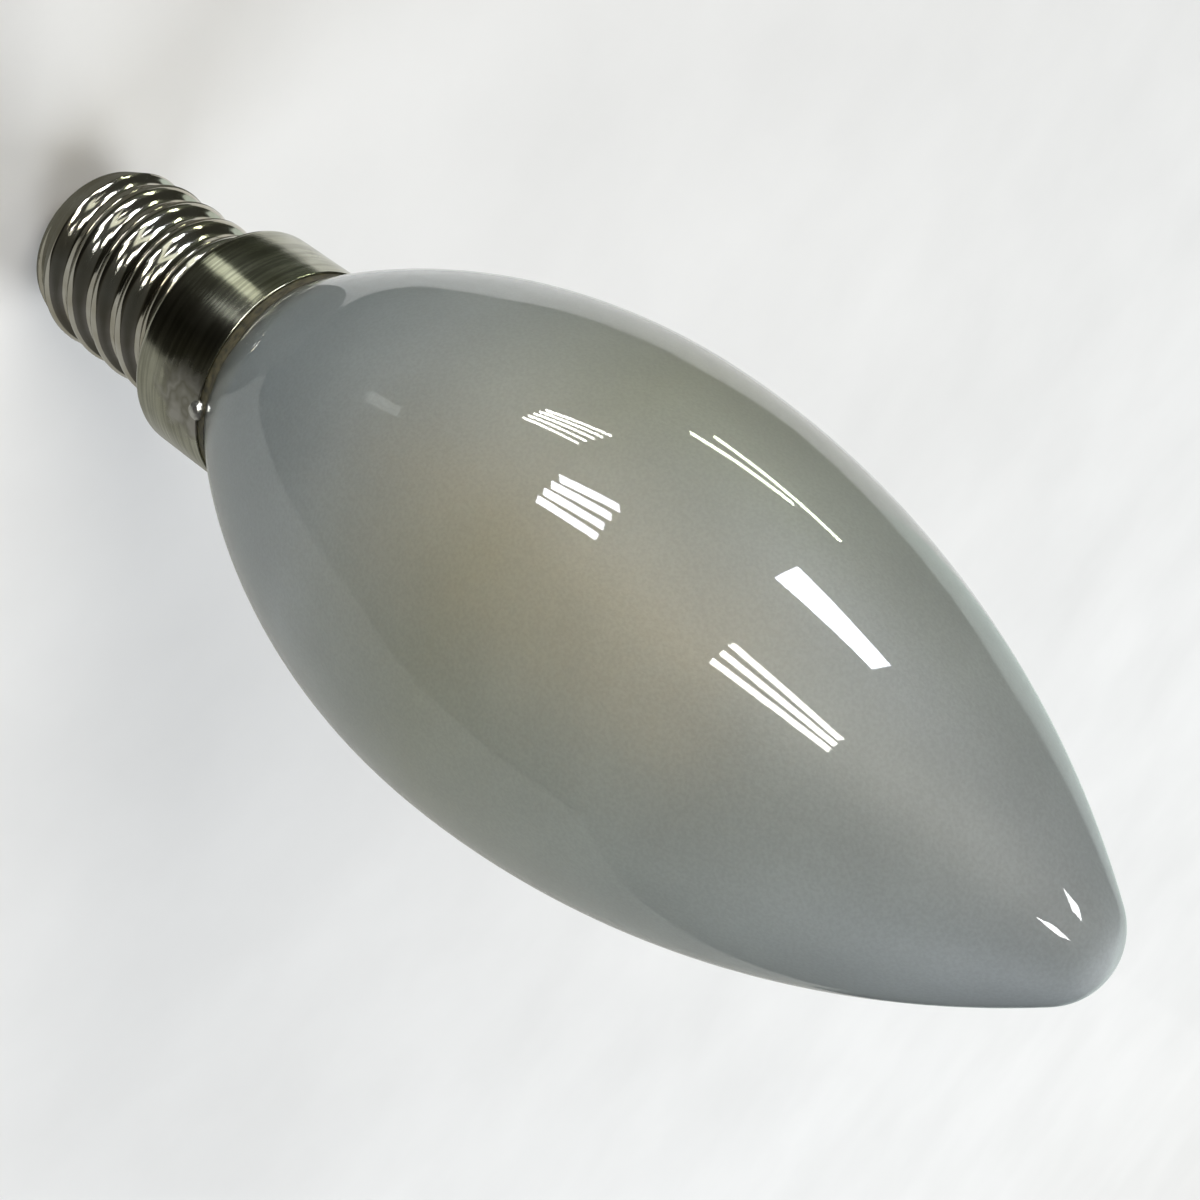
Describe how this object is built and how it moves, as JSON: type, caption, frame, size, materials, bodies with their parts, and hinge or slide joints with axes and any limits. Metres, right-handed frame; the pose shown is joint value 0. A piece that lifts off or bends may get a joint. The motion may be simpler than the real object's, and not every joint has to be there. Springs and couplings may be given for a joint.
{
  "type": "candle bulb",
  "caption": "Frosted candle-shaped filament lamp with a pointed glass envelope on a plated small Edison screw cap with a plain skirt.",
  "frame": {"origin": "centre of the outer face of the end contact, on the lamp's axis", "axes": "+Z along the lamp's axis from the cap to the glass tip; -Y is the front, where the nearest thread crest to the end stands 5.1 mm up"},
  "size_m": [0.035, 0.035, 0.096],
  "materials": {
    "frosted_glass": "satin frosted wall with a glossy outside",
    "nickel_plate": "bright nickel plate on rolled sheet",
    "black_insulator": "moulded, glossy",
    "contact_metal": "pressed, satin",
    "clear_glass": "clear, fire polished",
    "phosphor": "silicone coat, matt",
    "nickel_wire": "drawn wire, satin",
    "board": "solder mask, satin",
    "black_moulding": "moulded, matt",
    "resistor_coat": "dipped lacquer",
    "tinned_wire": "tinned, satin",
    "cement": "cured resin, matt",
    "solder": "solidified drop, bright"
  },
  "bodies": {
    "root": {"glass_envelope": "frosted_glass", "screw_shell": "nickel_plate", "base_insulator": "black_insulator", "centre_contact": "contact_metal", "glass_stem": "clear_glass", "filament_1": "phosphor", "filament_2": "phosphor", "filament_3": "phosphor", "filament_4": "phosphor", "filament_tabs": "nickel_wire", "upper_link_front": "nickel_wire", "upper_link_rear": "nickel_wire", "lower_link": "nickel_wire", "lead_wire_front": "nickel_wire", "lead_wire_rear": "nickel_wire", "driver_board": "board", "bridge_rectifier": "black_moulding", "current_regulator": "black_moulding", "sense_resistor": "black_moulding", "fuse_resistor": "resistor_coat", "contact_lead": "tinned_wire", "board_lead": "tinned_wire", "neutral_wire": "tinned_wire", "cap_cement": "cement", "side_solder": "solder"}
  },
  "joints": []
}
